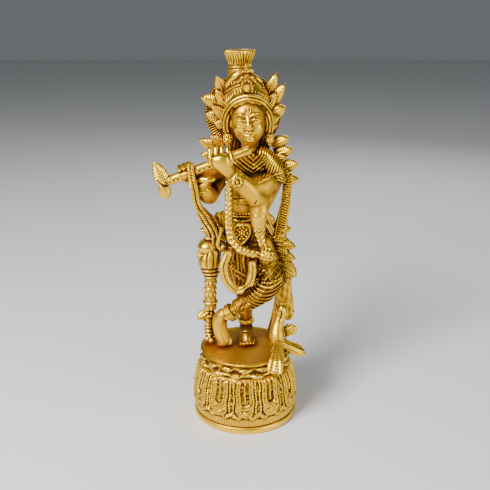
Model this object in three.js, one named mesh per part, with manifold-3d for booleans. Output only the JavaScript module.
// A cast brass devotional statuette: a flute-playing deity on a round lotus pedestal, with a crown,
// a ribbed halo, garlands, long scarves that run down to the pedestal, and a peacock at the feet.
// Millimetres, +Z up, the figure faces -Y, and left and right are the figure's own (+X is its left).
// The pieces are separate castings, brazed, pinned or nutted together, drawn 0.3 mm clear of each other.
import * as THREE from "three";
import { mergeVertices } from "three/addons/utils/BufferGeometryUtils.js";
import { LoftGeometry } from "three/addons/geometries/LoftGeometry.js";
import Module from "manifold-3d";

const wasm = await Module();
wasm.setup();

// ---- Driving dimensions -------------------------------------------------------------------------
const HEIGHT = 200; // pedestal underside to the top of the topknot
const DECK_TOP = 40; // height of the surface the figure stands on
const DECK_R = 24.7; // radius of that surface
const DECK_THICKNESS = 2.4;
const WALL = 2.6; // wall of the hollow pedestal
const GAP = 0.3; // clearance that stands for a brazed joint
const ROUND = 8; // sides of an ordinary lofted section
const TURNED = 32; // sides of the large turned forms
const FLUTE_R = 2.4;
const HALO_R = 20.2;

// ---- Solids -------------------------------------------------------------------------------------
// A closed geometry as a solid that can be joined and cut.
function solid(geometry) {
  const bare = new THREE.BufferGeometry();
  bare.setAttribute("position", geometry.getAttribute("position"));
  if (geometry.index) bare.setIndex(geometry.index);
  const merged = mergeVertices(bare, 1e-4);
  const corners = Array.from(merged.index.array);
  const triVerts = [];
  for (let i = 0; i < corners.length; i += 3) {
    const [a, b, c] = corners.slice(i, i + 3);
    if (a !== b && b !== c && c !== a) triVerts.push(a, b, c);
  }
  return new wasm.Manifold(
    new wasm.Mesh({
      numProp: 3,
      vertProperties: new Float32Array(merged.attributes.position.array),
      triVerts: new Uint32Array(triVerts),
    }),
  );
}

// A solid as a geometry that three.js can show.
function geometryOf(shape) {
  const mesh = shape.getMesh();
  const points = new Float32Array(mesh.numVert * 3);
  for (let i = 0; i < mesh.numVert; i++) {
    points.set(mesh.vertProperties.subarray(i * mesh.numProp, i * mesh.numProp + 3), i * 3);
  }
  const geometry = new THREE.BufferGeometry();
  geometry.setAttribute("position", new THREE.BufferAttribute(points, 3));
  geometry.setIndex(new THREE.BufferAttribute(new Uint32Array(mesh.triVerts), 1));
  geometry.computeVertexNormals();
  return geometry;
}

const join = (shapes) => shapes.reduce((whole, shape) => whole.add(shape));

// A loft through rows of [x, y, z, half width, half depth]. The width lies along "side" as far as the
// path lets it. Both ends are domed, and "grow" swells the whole form.
function loft(rows, grow = 0, { sides = ROUND, side = [1, 0, 0], dome = 0.6 } = {}) {
  const centres = new THREE.CatmullRomCurve3(rows.map(([x, y, z]) => new THREE.Vector3(x, y, z)));
  const sizes = new THREE.CatmullRomCurve3(rows.map((row) => new THREE.Vector3(row[3], row[4], 0)));
  const steps = rows.length - 1;
  const across = new THREE.Vector3(...side);
  const stations = [];
  for (let i = 0; i <= steps; i++) {
    const size = sizes.getPoint(i / steps);
    stations.push({
      centre: centres.getPoint(i / steps),
      along: centres.getTangent(i / steps),
      width: Math.max(size.x, 0.3) + grow,
      depth: Math.max(size.y, 0.3) + grow,
    });
  }
  const cap = (end, way) => {
    const reach = dome * Math.min(end.width, end.depth) + grow * (1 - dome);
    return {
      centre: end.centre.clone().addScaledVector(end.along, way * reach),
      along: end.along,
      width: end.width * 0.5,
      depth: end.depth * 0.5,
    };
  };
  stations.unshift(cap(stations[0], -1));
  stations.push(cap(stations[stations.length - 1], 1));
  const sections = stations.map(({ centre, along, width, depth }) => {
    const u = across.clone().addScaledVector(along, -across.dot(along)).normalize();
    const v = along.clone().cross(u);
    return Array.from({ length: sides }, (_, j) => {
      const angle = (j / sides) * 2 * Math.PI;
      return centre
        .clone()
        .addScaledVector(u, width * Math.cos(angle))
        .addScaledVector(v, depth * Math.sin(angle));
    });
  });
  return solid(new LoftGeometry(sections, { capStart: true, capEnd: true }));
}

// An ellipsoid: centre, then its three half sizes.
function ball([x, y, z], [rx, ry, rz], grow = 0, sides = 8) {
  const geometry = new THREE.SphereGeometry(1, sides, Math.ceil(sides / 2));
  geometry.rotateX(Math.PI / 2);
  geometry.scale(rx + grow, ry + grow, rz + grow);
  geometry.translate(x, y, z);
  return solid(geometry);
}

// A turned form: a profile of [radius, height] from its lowest point on the axis, or a closed outline,
// run counter-clockwise in the radius-height plane, and turned about the vertical through (x, y).
function turned(profile, [x, y] = [0, 0], sides = TURNED) {
  const geometry = new THREE.LatheGeometry(
    profile.map(([r, z]) => new THREE.Vector2(r, z)),
    sides,
  );
  geometry.rotateX(Math.PI / 2);
  geometry.translate(x, y, 0);
  return solid(geometry);
}

// A pin or a shank: a turned rod between two heights, swelled all round by "grow".
function rod(radius, low, high, [x, y], grow = 0, sides = 12) {
  return turned(
    [
      [0, low - grow],
      [radius + grow, low - grow],
      [radius + grow, high + grow],
      [0, high + grow],
    ],
    [x, y],
    sides,
  );
}

// A pointed leaf from a broad root to its tip, thin along Y.
function leaf(root, tip, width, grow = 0, depth = 1.5) {
  const at = (share) => root.map((value, i) => value + (tip[i] - value) * share);
  const dx = tip[0] - root[0];
  const dz = tip[2] - root[2];
  const size = Math.hypot(dx, dz);
  return loft(
    [
      [...at(0), width * 0.7, depth],
      [...at(0.35), width, depth],
      [...at(0.7), width * 0.72, depth * 0.8],
      [...at(1), width * 0.22, depth * 0.5],
    ],
    grow,
    { sides: 6, side: [-dz / size, 0, dx / size] },
  );
}

// A spray of leaves on one stem.
const spray = (stem, leaves, grow) =>
  join([loft(stem, grow, { sides: 6 }), ...leaves.map((each) => leaf(...each, grow))]);

// ---- Materials ----------------------------------------------------------------------------------
const brass = (name, color, roughness) =>
  new THREE.MeshStandardMaterial({ name, color, roughness, metalness: 1 });
const polished = brass("polished_brass", 0xd9a93a, 0.28);
const chased = brass("chased_brass", 0xc08a2c, 0.4);
const shaded = brass("shaded_brass", 0x8f5f1f, 0.5);
const plain = brass("plain_brass", 0xb8923f, 0.35);

// ---- Pieces, from the core outwards: each is cut back from those above it in this list -----------
const pieces = [];
const piece = (name, group, material, shape) => pieces.push({ name, group, material, shape });

// Fastenings: the standing leg's stud is nutted under the deck, the post and the peacock are riveted
const STUD = [0.6, 5.5];
const POST_PIN = [-19.2, 2.6];
const PEACOCK_PIN = [16.6, -6.4];
piece("foot_stud", "pedestal", plain, (grow) => rod(1.5, 30.2, 46, STUD, grow));
piece("foot_nut", "pedestal", plain, (grow) =>
  turned(
    [
      [0, 31.6 - grow],
      [3.2 + grow, 31.6 - grow],
      [3.2 + grow, 34.4 + grow],
      [0, 34.4 + grow],
    ],
    STUD,
    6,
  ),
);
piece("foot_washer", "pedestal", plain, (grow) => rod(4.4, 35, 36, STUD, grow, 24));
piece("post_rivet", "pedestal", plain, (grow) =>
  rod(1.1, 36.4, 45, POST_PIN, grow).add(rod(2, 35.4, 36.8, POST_PIN, grow)),
);
piece("peacock_rivet", "pedestal", plain, (grow) =>
  rod(1.1, 36.4, 45, PEACOCK_PIN, grow).add(rod(2, 35.4, 36.8, PEACOCK_PIN, grow)),
);

// The pedestal: a deck, a collar of upturned petals and the hollow lotus casting
piece("deck", "pedestal", polished, (grow) =>
  rod(DECK_R, DECK_TOP - DECK_THICKNESS, DECK_TOP, [0, 0], grow, TURNED),
);
piece("petal_collar", "pedestal", chased, (grow) =>
  turned([
    [20.5 - grow, 31.6 - grow],
    [24.8 + grow, 31.6 - grow],
    [25.3 + grow, 34 + grow],
    [24.6 + grow, 37.3 + grow],
    [20.5 - grow, 37.3 + grow],
    [20.5 - grow, 31.6 - grow],
  ]),
);
const PLATE_R = 24.4; // closing plate that fills the pedestal's open underside
piece("base_plate", "pedestal", plain, (grow) => rod(PLATE_R, 0, 1.5, [0, 0], grow, TURNED));
const PEDESTAL = [
  [27.8, 0],
  [28.9, 1],
  [28.9, 3.6],
  [29.3, 8],
  [28.7, 16],
  [27, 24],
  [24.4, 31.3],
];
piece("lotus_pedestal", "pedestal", chased, () =>
  turned([...PEDESTAL, ...PEDESTAL.map(([r, z]) => [r - WALL, z]).reverse(), PEDESTAL[0]]),
);

// Legs: the right one stands, the left one crosses in front of it with its toes down
const toes = (x0, y0, z0, step, grow) =>
  [0, 1, 2, 3, 4].map((i) =>
    ball([x0 + i * step, y0 + Math.abs(i - 1) * 0.5, z0], [1, 1.8, 1.15 - i * 0.05], grow, 6),
  );
piece("standing_leg", "figure", polished, (grow) =>
  join([
    loft(
      [
        [-4, 6, 101, 6.4, 6.2],
        [-2.6, 5.6, 88, 6, 6],
        [-1.2, 5, 75, 4.8, 5],
        [0.2, 7.4, 63, 4.1, 4.4],
        [0.6, 8.2, 52, 3.1, 3.6],
        [0.7, 7.8, 45.5, 3.4, 4.4],
      ],
      grow,
    ),
    loft(
      [
        [0.6, 10, 43, 3.3, 2.8],
        [0.7, 5, 44.2, 3.8, 3.8],
        [0.9, 1, 42.6, 4.3, 2.4],
        [1, -1.4, 41.9, 4.2, 1.6],
      ],
      grow,
    ),
    ...toes(-2.5, -2.6, 41.7, 1.75, grow),
  ]),
);
piece("crossing_leg", "figure", polished, (grow) =>
  join([
    loft(
      [
        [8.6, 4.6, 99, 6.6, 6.4],
        [13.2, 0.4, 88, 6, 6],
        [14.6, -3.4, 79.6, 5.2, 5.2],
        [8, -4, 72.4, 4.6, 4.6],
        [-1.4, -3.6, 65.6, 3.8, 3.8],
        [-9.2, -2.6, 60, 3, 3.2],
      ],
      grow,
    ),
    loft(
      [
        [-10.4, -1.6, 60, 3.2, 3.2],
        [-13.4, -0.6, 57, 3.5, 3.4],
        [-13.6, -1, 51, 3.6, 2.8],
        [-12.4, -1.6, 45, 3.8, 2.2],
        [-11.4, -2.4, 42.2, 3.8, 1.7],
      ],
      grow,
    ),
    ...toes(-14.4, -3, 41.6, 1.55, grow),
  ]),
);

// Body
piece("torso", "figure", polished, (grow) =>
  loft(
    [
      [-0.6, 5.4, 104, 9.6, 6.6],
      [-1.1, 5.2, 112, 7.9, 5.7],
      [-0.9, 5, 118, 7.3, 5.3],
      [0, 5, 126, 8.5, 5.9],
      [1.3, 5, 134, 10.8, 6.6],
      [2.2, 5.4, 140, 12.6, 6.2],
      [2.7, 5.8, 144.6, 9.6, 5],
      [3, 6, 147.4, 5.6, 4.4],
    ],
    grow,
    { sides: 12 },
  ),
);
piece("head", "figure", polished, (grow) =>
  join([
    loft(
      [
        [3, 5.6, 146, 4.9, 4.6],
        [2.6, 4.8, 151, 4.6, 4.6],
        [2.3, 4.2, 156, 4.8, 5.2],
      ],
      grow,
    ),
    loft(
      [
        [2.2, 0.4, 154.6, 4.2, 4.6],
        [2.1, 1.2, 158.4, 7, 7.8],
        [1.9, 2.4, 164, 8.6, 9.6],
        [1.5, 3.4, 170, 9, 10],
        [1.1, 3.8, 176, 7.6, 8.4],
      ],
      grow,
      { sides: 12 },
    ),
    ball([1.95, -7.6, 162.4], [1.3, 1.8, 2.9], grow, 6),
  ]),
);

// Arms, each cast with its hand; the fingers close over the flute
const FLUTE_LEFT_END = new THREE.Vector3(2.6, -10.4, 152.6);
const FLUTE_RIGHT_END = new THREE.Vector3(-38.6, -14.6, 137.5);
const onFlute = (share) => FLUTE_LEFT_END.clone().lerp(FLUTE_RIGHT_END, share);
// A finger at a share of the flute's length. Each step is how far it lies in front of and above the
// flute's axis, and its half thickness.
const finger = (share, steps, grow) => {
  const { x, y, z } = onFlute(share);
  return loft(
    steps.map(([forward, up, size]) => [x, y - forward, z + up, size, size]),
    grow,
    { sides: 5 },
  );
};
const OVER_THE_TOP = [
  [3.6, 1.6, 1.15],
  [3, 5.2, 1.1],
  [0.2, 6.4, 0.9],
];
const FROM_BEHIND = [
  [-3.2, 0.6, 1.15],
  [-2.2, 4.2, 1.1],
  [1.2, 4.4, 0.95],
];
piece("flute", "attributes", polished, (grow) => {
  const start = onFlute(0);
  const end = onFlute(1);
  return loft(
    [
      [start.x, start.y, start.z, FLUTE_R, FLUTE_R],
      [end.x, end.y, end.z, FLUTE_R, FLUTE_R],
    ],
    grow,
    { side: [0, 0, 1], dome: 0.1, sides: 11 },
  );
});
piece("left_arm", "figure", polished, (grow) =>
  join([
    loft(
      [
        [15.2, 5, 140.4, 5, 4.6],
        [14.6, 1.4, 133, 4.6, 4.5],
        [10.4, -4.6, 125.2, 4.3, 4.3],
        [7.4, -7, 123.4, 3.9, 3.9],
      ],
      grow,
    ),
    loft(
      [
        [8.8, -6, 124, 4.3, 4],
        [2, -10.4, 132.4, 3.9, 3.6],
        [-6.6, -14.2, 140.6, 2.7, 2.5],
      ],
      grow,
    ),
    loft(
      [
        [-7, -14.6, 141, 2.6, 2.3],
        [-9.8, -16.6, 144.8, 3.6, 2.1],
        [-12, -17.4, 148.2, 4.8, 1.9],
        [-12.4, -17.2, 150.2, 4.9, 1.6],
      ],
      grow,
      { side: [1, 0, 0.37] },
    ),
    ...[0.27, 0.34, 0.41, 0.48].map((share) => finger(share, OVER_THE_TOP, grow)),
  ]),
);
piece("right_arm", "figure", polished, (grow) =>
  join([
    loft(
      [
        [-10.6, 5.4, 140.6, 4.8, 4.6],
        [-14.4, 4, 133, 4.3, 4.3],
        [-18, 1, 126.6, 4, 4],
      ],
      grow,
    ),
    loft(
      [
        [-18, 0.6, 126, 4, 4],
        [-19.6, -4, 128, 3.8, 3.8],
        [-22.4, -9, 133.4, 3, 3],
        [-26, -11, 137, 3.4, 2.4],
        [-29.6, -9.8, 140, 3.6, 2],
      ],
      grow,
    ),
    loft(
      [
        [-24, -13.4, 137.4, 1.3, 1.3],
        [-20, -15.4, 137.6, 1.3, 1.2],
        [-15.6, -15, 138.6, 1.1, 1],
      ],
      grow,
      { sides: 6, side: [0, 0, 1] },
    ),
    ...[0.75, 0.8, 0.85].map((share) => finger(share, FROM_BEHIND, grow)),
  ]),
);

// Clothes
piece("hip_wrap", "dress", shaded, (grow) =>
  loft(
    [
      [-0.2, 5.4, 110.6, 9.4, 7],
      [0.8, 5.2, 104, 12, 8.2],
      [2, 4.8, 96, 13.6, 8.8],
      [2.8, 4.4, 88.6, 12.6, 8],
    ],
    grow,
    { sides: 12, dome: 0.3 },
  ),
);
piece("crossing_leg_drape", "dress", shaded, (grow) =>
  loft(
    [
      [12.6, 1, 89, 8, 7.6],
      [15, -2.8, 80.4, 7.6, 7],
      [9.6, -3.8, 73.6, 6.4, 6],
      [3.2, -3.8, 69.2, 5.6, 5.3],
      [-1.6, -3.6, 65.8, 5.2, 4.9],
      [-5, -3.2, 63.4, 5, 4.8],
    ],
    grow,
    { dome: 0.2 },
  ),
);
piece("standing_leg_drape", "dress", shaded, (grow) =>
  loft(
    [
      [-3, 5.6, 90, 8, 7.6],
      [-1.6, 5.2, 79, 6.8, 6.8],
      [-0.4, 6.4, 69.4, 6, 6],
    ],
    grow,
    { dome: 0.2 },
  ),
);
piece("waist_belt", "dress", chased, (grow) =>
  loft(
    [
      [-1.1, 5.1, 114.2, 9.1, 7],
      [-1, 5.1, 117.2, 8.9, 6.9],
    ],
    grow,
    { sides: 16, dome: 0.08 },
  ),
);
piece("belt_medallion", "dress", chased, (grow) =>
  loft(
    [
      [-1.4, -3.6, 111.6, 4.6, 1.3],
      [-1.6, -4.4, 107.6, 5, 1.5],
      [-1.8, -5, 103.8, 3.2, 1.3],
      [-1.9, -5.2, 101.2, 1, 1],
    ],
    grow,
    { sides: 8 },
  ),
);
piece("front_pleats", "dress", shaded, (grow) =>
  loft(
    [
      [-0.8, -4.8, 99.4, 3.4, 1.5],
      [-1, -5.6, 90, 4.4, 1.6],
      [-1.6, -6.4, 80, 4.8, 1.5],
    ],
    grow,
    { sides: 8 },
  ),
);
const anklet = (from, to, radius, grow) =>
  loft([[...from, radius, radius], [...to, radius, radius]], grow, { sides: 11, dome: 0.1 });
piece("standing_anklet", "dress", chased, (grow) => anklet([0.6, 8.1, 50.4], [0.6, 8.2, 52.8], 4.2, grow));
piece("crossing_anklet", "dress", chased, (grow) => anklet([-8.9, -2.8, 60.2], [-6.6, -3.2, 61.9], 4.7, grow));
piece("left_bracelet", "dress", chased, (grow) =>
  anklet([-6.6, -14.2, 140.8], [-3.2, -12.9, 137.2], 4.1, grow),
);
piece("right_bracelet", "dress", chased, (grow) =>
  anklet([-21.4, -7.4, 131.6], [-22.6, -9.2, 133.8], 4.1, grow),
);
piece("left_armlet", "dress", chased, (grow) => anklet([15.2, 2.8, 136.2], [14.9, 1.6, 133.4], 5.9, grow));
piece("necklace", "dress", chased, (grow) =>
  join([
    ball([2.4, 2.6, 143], [10, 7.6, 5.6], grow, 10),
    ball([1.8, 0.6, 136.4], [6.2, 3.4, 5.2], grow, 6),
  ]),
);

// Hair, crown and ears
const CROWN_AXIS = [-2.6, 4];
piece("hair", "head_dress", shaded, (grow) =>
  loft(
    [
      [1.8, 10.6, 174, 8, 4],
      [2, 11.4, 164, 11, 4],
      [2.2, 11.6, 153, 12, 3.2],
      [2.4, 11.8, 143, 10, 2],
    ],
    grow,
    { sides: 11 },
  ),
);
piece("crown", "head_dress", chased, (grow) =>
  loft(
    [
      [1.2, 4.4, 172.6, 11.8, 11],
      [0.6, 4.4, 179, 11.2, 10.8],
      [-0.8, 4.2, 185.4, 8.8, 8.8],
      [CROWN_AXIS[0], CROWN_AXIS[1], 190, 5.6, 5.6],
    ],
    grow,
    { sides: 14, dome: 0.05 },
  ),
);
piece("crown_band", "head_dress", chased, (grow) =>
  loft(
    [
      [-9.4, 0.6, 160, 2, 2.4],
      [-9.8, -2.6, 168, 2.3, 2.6],
      [-6.4, -6.6, 175.6, 2.4, 2.6],
      [1.6, -8.4, 178.6, 2.4, 2.6],
      [9.4, -6.6, 175.8, 2.4, 2.6],
      [12.6, -2.6, 168, 2.3, 2.6],
      [12.4, 0.6, 160, 2, 2.4],
    ],
    grow,
    { sides: 6, side: [0, 1, 0] },
  ),
);
piece("crown_plaque", "head_dress", chased, (grow) =>
  loft(
    [
      [1.2, -9.2, 181, 2.4, 1.4],
      [0.9, -8.8, 184.6, 4.2, 1.6],
      [0.5, -6.6, 188.4, 3.6, 1.6],
      [0.1, -4, 191.2, 1.4, 1.2],
    ],
    grow,
    { sides: 8 },
  ),
);
piece("topknot_tie", "head_dress", polished, (grow) =>
  turned(
    [
      [4 - grow, 190.2 - grow],
      [5.9 + grow, 190.2 - grow],
      [6.3 + grow, 191.2],
      [5.9 + grow, 192.4 + grow],
      [4 - grow, 192.4 + grow],
      [4 - grow, 190.2 - grow],
    ],
    CROWN_AXIS,
    24,
  ),
);
piece("topknot", "head_dress", chased, (grow) =>
  turned(
    [
      [0, 190.6 - grow],
      [3.5 + grow, 190.6 - grow],
      [3.5 + grow, 192.9 - grow],
      [5.8 + grow, 192.9 - grow],
      [6.6 + grow, 195 + grow],
      [7.6 + grow, 197.4 + grow],
      [7.8 + grow, HEIGHT + grow],
      [0, HEIGHT + grow],
    ],
    CROWN_AXIS,
    24,
  ),
);
const earring = (x, grow) =>
  join([
    ball([x, 2.6, 162.6], [2, 2.6, 3.4], grow, 6),
    ball([x, 1.6, 157.6], [2.3, 2.3, 2.2], grow, 6),
    ball([x, 1.2, 154], [1.9, 1.9, 2.2], grow, 6),
  ]);
piece("right_earring", "head_dress", chased, (grow) => earring(-8.9, grow));
piece("left_earring", "head_dress", chased, (grow) => earring(12.6, grow));

// Halo: a ribbed disc behind the head, on a stay from the shoulders
const HALO = [-0.9, 15.4, 167.4];
piece("halo", "head_dress", chased, (grow) => {
  const geometry = new THREE.LatheGeometry(
    [
      [0, -1 - grow],
      [HALO_R + grow, -1 - grow],
      [HALO_R + grow, 0.8 + grow],
      [HALO_R - 4.4, 1.2 + grow],
      [HALO_R - 5.4, 0.4 + grow],
      [0, 0.4 + grow],
    ].map(([r, y]) => new THREE.Vector2(r, y)),
    TURNED,
  );
  geometry.rotateZ(Math.PI);
  geometry.translate(...HALO);
  return solid(geometry);
});
piece("halo_stay", "head_dress", plain, (grow) =>
  loft(
    [
      [1, 18.4, 170, 3, 1],
      [1.2, 18.2, 156, 3, 1],
      [1.6, 15.6, 146, 3.4, 1.1],
      [2, 12.8, 139, 3.4, 1.1],
    ],
    grow,
    { sides: 6 },
  ),
);

// Leaf sprays at the crown and the shoulders
piece("right_crown_spray", "head_dress", chased, (grow) =>
  spray(
    [
      [-12, 8.6, 163, 1.8, 2.4],
      [-12.6, 8.4, 172, 1.8, 2.4],
      [-11.6, 8, 180, 1.6, 2],
    ],
    [
      [[-11.6, 7.4, 179], [-14.6, 5.4, 186.6], 2.4],
      [[-12.6, 7.4, 173.4], [-22, 5.8, 176.4], 3],
      [[-12.2, 7.4, 166], [-19.6, 6, 167.4], 3.2],
    ],
    grow,
  ),
);
piece("left_crown_spray", "head_dress", chased, (grow) =>
  spray(
    [
      [13.8, 8.6, 163, 1.8, 2.4],
      [14, 8.4, 172, 1.8, 2.4],
      [12.4, 8, 180, 1.6, 2],
    ],
    [
      [[12.4, 7.4, 179.4], [15.6, 5.4, 188.4], 2.6],
      [[13.6, 7.4, 174.4], [19.6, 5.8, 182.8], 2.8],
      [[14, 7.4, 168.4], [20.8, 6, 171.4], 3.2],
    ],
    grow,
  ),
);
piece("right_shoulder_spray", "head_dress", chased, (grow) =>
  spray(
    [
      [-13, 8.8, 142, 2.4, 2.4],
      [-13.6, 9, 148, 2.8, 2.2],
      [-12.4, 9.4, 153.6, 2, 2],
    ],
    [
      [[-14, 8, 150], [-23.4, 6, 154.6], 2.8],
      [[-14, 8, 145.4], [-22.6, 6, 147], 2.6],
    ],
    grow,
  ),
);
piece("left_shoulder_spray", "head_dress", chased, (grow) =>
  spray(
    [
      [15.6, 9.4, 154, 2, 2],
      [18, 9, 146, 2.6, 2.4],
      [20.6, 8.4, 138, 2.6, 2.4],
      [21.6, 8, 131.6, 2.2, 2.2],
    ],
    [
      [[15.6, 8.4, 153], [22, 6, 156], 2.4],
      [[17.8, 8.2, 148], [24.6, 6, 149.8], 2.4],
      [[20.4, 8, 140.6], [27.4, 6, 141.6], 2.8],
      [[21.4, 7.6, 133.6], [27.8, 6, 133.4], 2.4],
    ],
    grow,
  ),
);

// Garlands
piece("garland", "dress", chased, (grow) =>
  loft(
    [
      [-7.6, -4.4, 143.6, 2.2, 1.9],
      [-8.2, -7.6, 137, 2.2, 1.9],
      [-8.4, -8, 126, 2.2, 1.9],
      [-8.6, -8.4, 113, 2.2, 1.9],
      [-7.4, -10, 105.4, 2.2, 1.9],
      [-2.8, -10.8, 100.2, 2.2, 1.9],
      [3.4, -10.8, 97.8, 2.2, 1.9],
      [6.6, -10.6, 97.4, 2, 1.8],
    ],
    grow,
    { sides: 6 },
  ),
);
piece("garland_knob", "dress", polished, (grow) => ball([11.2, -10.4, 97.4], [4.4, 4, 4.2], grow, 10));
piece("elbow_sash", "dress", polished, (grow) =>
  loft(
    [
      [7.6, -8, 119, 3.2, 2],
      [6.8, -9, 113, 2.8, 1.9],
      [8.2, -9.8, 106.4, 2.2, 1.8],
      [9.6, -10.2, 102, 2, 1.7],
    ],
    grow,
    { sides: 8 },
  ),
);
piece("garland_loop", "dress", chased, (grow) =>
  loft(
    [
      [-8.6, -11, 98.6, 2.3, 1.7],
      [-11.4, -11, 91.6, 2.5, 1.7],
      [-10.6, -11, 84.2, 2.6, 1.7],
      [-6.8, -11, 78.6, 2.6, 1.7],
      [-2, -11, 77.2, 2.6, 1.7],
      [2.6, -11, 81, 2.5, 1.7],
      [4, -11, 88, 2.3, 1.7],
      [3.8, -11, 93.2, 2.1, 1.7],
    ],
    grow,
    { sides: 6, side: [1, 0, 0.3] },
  ),
);

// Scarves: down each side from the arms to the pedestal, with leaf-shaped ends at the hips
piece("right_scarf", "scarves", chased, (grow) =>
  loft(
    [
      [-27.2, -14.6, 146.4, 1.5, 1.3],
      [-26.8, -18.4, 143.2, 1.6, 1.2],
      [-25.8, -18.4, 138, 1.8, 1.2],
      [-25.2, -15.2, 132.6, 2, 1.3],
      [-24.4, -8, 123.4, 2.3, 1.4],
      [-20.8, -1.6, 113, 2.9, 1.6],
      [-16.6, 2, 105, 3.6, 2],
      [-15.4, 2.6, 98.6, 3.8, 2.2],
    ],
    grow,
    { sides: 6 },
  ),
);
piece("right_hip_spray", "scarves", chased, (grow) =>
  spray(
    [
      [-15, 5.6, 107, 2, 2],
      [-15.6, 6, 97, 2.4, 2.4],
      [-16.4, 5.8, 88, 2, 2],
    ],
    [
      [[-16, 5, 105.4], [-23.4, 3.6, 106.8], 2.4],
      [[-16.4, 5, 98.4], [-25.8, 3.6, 97], 3.4],
      [[-17, 5, 91.8], [-25, 3.6, 88.8], 3],
    ],
    grow,
  ),
);
piece("right_post", "scarves", chased, (grow) =>
  join([
    loft(
      [
        [-16.8, 2.6, 95, 3.2, 3],
        [-18.4, 2.8, 84, 3.3, 3],
        [-19.2, 3, 72, 3.2, 3],
        [-19.2, 3, 60.6, 3.1, 2.9],
      ],
      grow,
      { dome: 0.2 },
    ),
    ball([-18.5, 2.8, 82.6], [4.3, 4, 2.2], grow),
    ball([-19.2, 3, 65], [3.9, 3.7, 1.6], grow),
  ]),
);
piece("right_post_tassel", "scarves", chased, (grow) =>
  join([
    loft(
      [
        [-19.4, 3, 59, 2.9, 2.6],
        [-20.2, 2.6, 52, 2.5, 2.4],
        [-20, 2.4, 46, 2.2, 2.2],
        [-19.2, 2.4, 41.6, 3, 2.8],
      ],
      grow,
      { dome: 0.1 },
    ),
    leaf([-20.4, 3.4, 58.4], [-25.4, 3.4, 54.4], 3, grow, 2),
  ]),
);
piece("left_scarf", "scarves", chased, (grow) =>
  loft(
    [
      [20, 4.4, 141, 2.2, 1.8],
      [22.4, 4.8, 131, 2.4, 1.8],
      [21.6, 5.4, 119.6, 2.8, 2],
      [19.4, 5.4, 108.4, 3.4, 2.2],
      [18.2, 5.2, 100, 4.4, 2.4],
    ],
    grow,
    { sides: 6 },
  ),
);
piece("left_hip_spray", "scarves", chased, (grow) =>
  spray(
    [
      [18.6, 8.8, 106, 2.2, 2.2],
      [19.4, 9.2, 95, 2.6, 2.4],
      [20.6, 9, 82, 2.4, 2.2],
    ],
    [
      [[17.6, 8, 106], [24.4, 6, 106.4], 2.4],
      [[18.6, 8, 98.6], [26.8, 6, 97], 2.8],
      [[19, 8, 92.6], [27, 6, 90], 2.6],
      [[19.6, 8, 83.6], [28.4, 6, 78.8], 3.6],
    ],
    grow,
  ),
);
piece("left_post", "scarves", chased, (grow) =>
  join([
    loft(
      [
        [20.8, 6.4, 96, 3.6, 3],
        [21.6, 7, 84, 4, 3.2],
        [21.8, 7.6, 72, 4.1, 3.2],
        [22.8, 7.4, 61, 4.6, 3.2],
        [24.6, 7, 54.6, 3.4, 2.6],
      ],
      grow,
    ),
    loft(
      [
        [19.6, 8.6, 74, 2, 2],
        [17.6, 11.4, 58, 1.7, 1.7],
        [15.2, 14.6, 41.8, 2.2, 2.2],
      ],
      grow,
      { sides: 6, dome: 0.1 },
    ),
  ]),
);

// Flute tassel: one lobe stands up, the other hangs
piece("flute_tassel", "attributes", chased, (grow) =>
  join([
    ball([-41, -14.8, 136.6], [2.2, 2.8, 3.6], grow, 6),
    leaf([-40.8, -14.8, 138], [-44.8, -14.8, 146], 3.2, grow, 1.8),
    leaf([-40.6, -14.8, 135.4], [-39.6, -14.8, 128.8], 2.8, grow, 1.7),
  ]),
);

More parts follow.
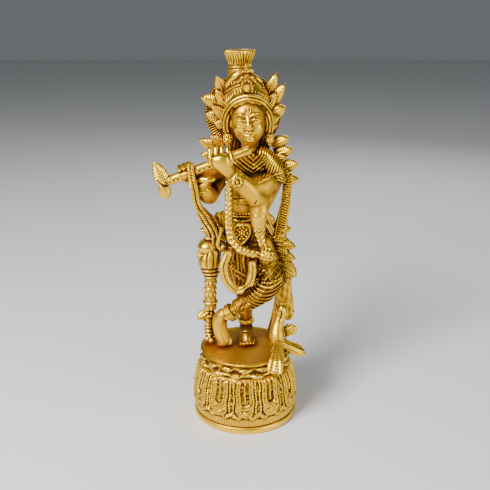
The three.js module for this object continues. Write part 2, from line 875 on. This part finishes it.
// Peacock
piece("peacock", "attributes", polished, (grow) =>
  join([
    loft(
      [
        [20.6, -2, 65.6, 1, 1],
        [20.2, -2.4, 62.6, 2.2, 2.1],
        [18.6, -3, 57, 2.2, 2.2],
        [17.2, -4.8, 51, 3.3, 3.2],
        [17.8, -6.6, 46, 4.2, 4],
        [20.4, -7.4, 43.2, 3.2, 3],
      ],
      grow,
    ),
    loft(
      [
        [21, -2.2, 61.6, 1.1, 1.2],
        [21.8, -2.2, 58.2, 0.8, 0.9],
        [21.8, -2.2, 56, 0.4, 0.5],
      ],
      grow,
      { sides: 6 },
    ),
    loft(
      [
        [19.4, -7.2, 44.6, 3, 2.8],
        [25, -7, 42.8, 2.8, 1.8],
        [30, -6.6, 39.6, 2.5, 1.2],
        [33.2, -6.4, 37, 1.2, 0.8],
      ],
      grow,
      { side: [0, 1, 0], sides: 8 },
    ),
  ]),
);
piece("peacock_near_wing", "attributes", chased, (grow) =>
  loft(
    [
      [18.4, -12, 46.4, 2.4, 1.2],
      [17.4, -17.6, 44, 4.2, 1.2],
      [16.4, -23.4, 41.2, 5.2, 1.1],
      [15.6, -26.6, 36.6, 5, 1],
    ],
    grow,
    { side: [1, -0.5, 0.1], sides: 8 },
  ),
);
piece("peacock_far_wing", "attributes", chased, (grow) =>
  loft(
    [
      [20.6, -2, 46, 2, 1],
      [24, 0, 49.4, 3.8, 1],
      [28.4, 1, 49, 2.6, 0.9],
    ],
    grow,
    { side: [-0.6, 0, 1], sides: 8 },
  ),
);

// ---- Assembly -----------------------------------------------------------------------------------
const near = (a, b) =>
  [0, 1, 2].every((k) => a.min[k] - 1 < b.max[k] && b.min[k] - 1 < a.max[k]);

const statue = new THREE.Group();
const groups = new Map();
const placed = [];
for (const { name, group, material, shape } of pieces) {
  let cut = shape(0);
  for (const other of placed) {
    if (near(cut.boundingBox(), other.boundingBox())) cut = cut.subtract(other);
  }
  const whole = cut.decompose().sort((a, b) => b.volume() - a.volume())[0];
  placed.push(shape(GAP));
  const geometry = geometryOf(whole);
  const centre = new THREE.Box3().setFromBufferAttribute(geometry.attributes.position).getCenter(
    new THREE.Vector3(),
  );
  geometry.translate(-centre.x, -centre.y, -centre.z);
  const mesh = new THREE.Mesh(geometry, material);
  mesh.name = name;
  mesh.position.copy(centre);
  if (!groups.has(group)) groups.set(group, new THREE.Group());
  groups.get(group).add(mesh);
}
for (const group of groups.values()) statue.add(group);

export default statue;
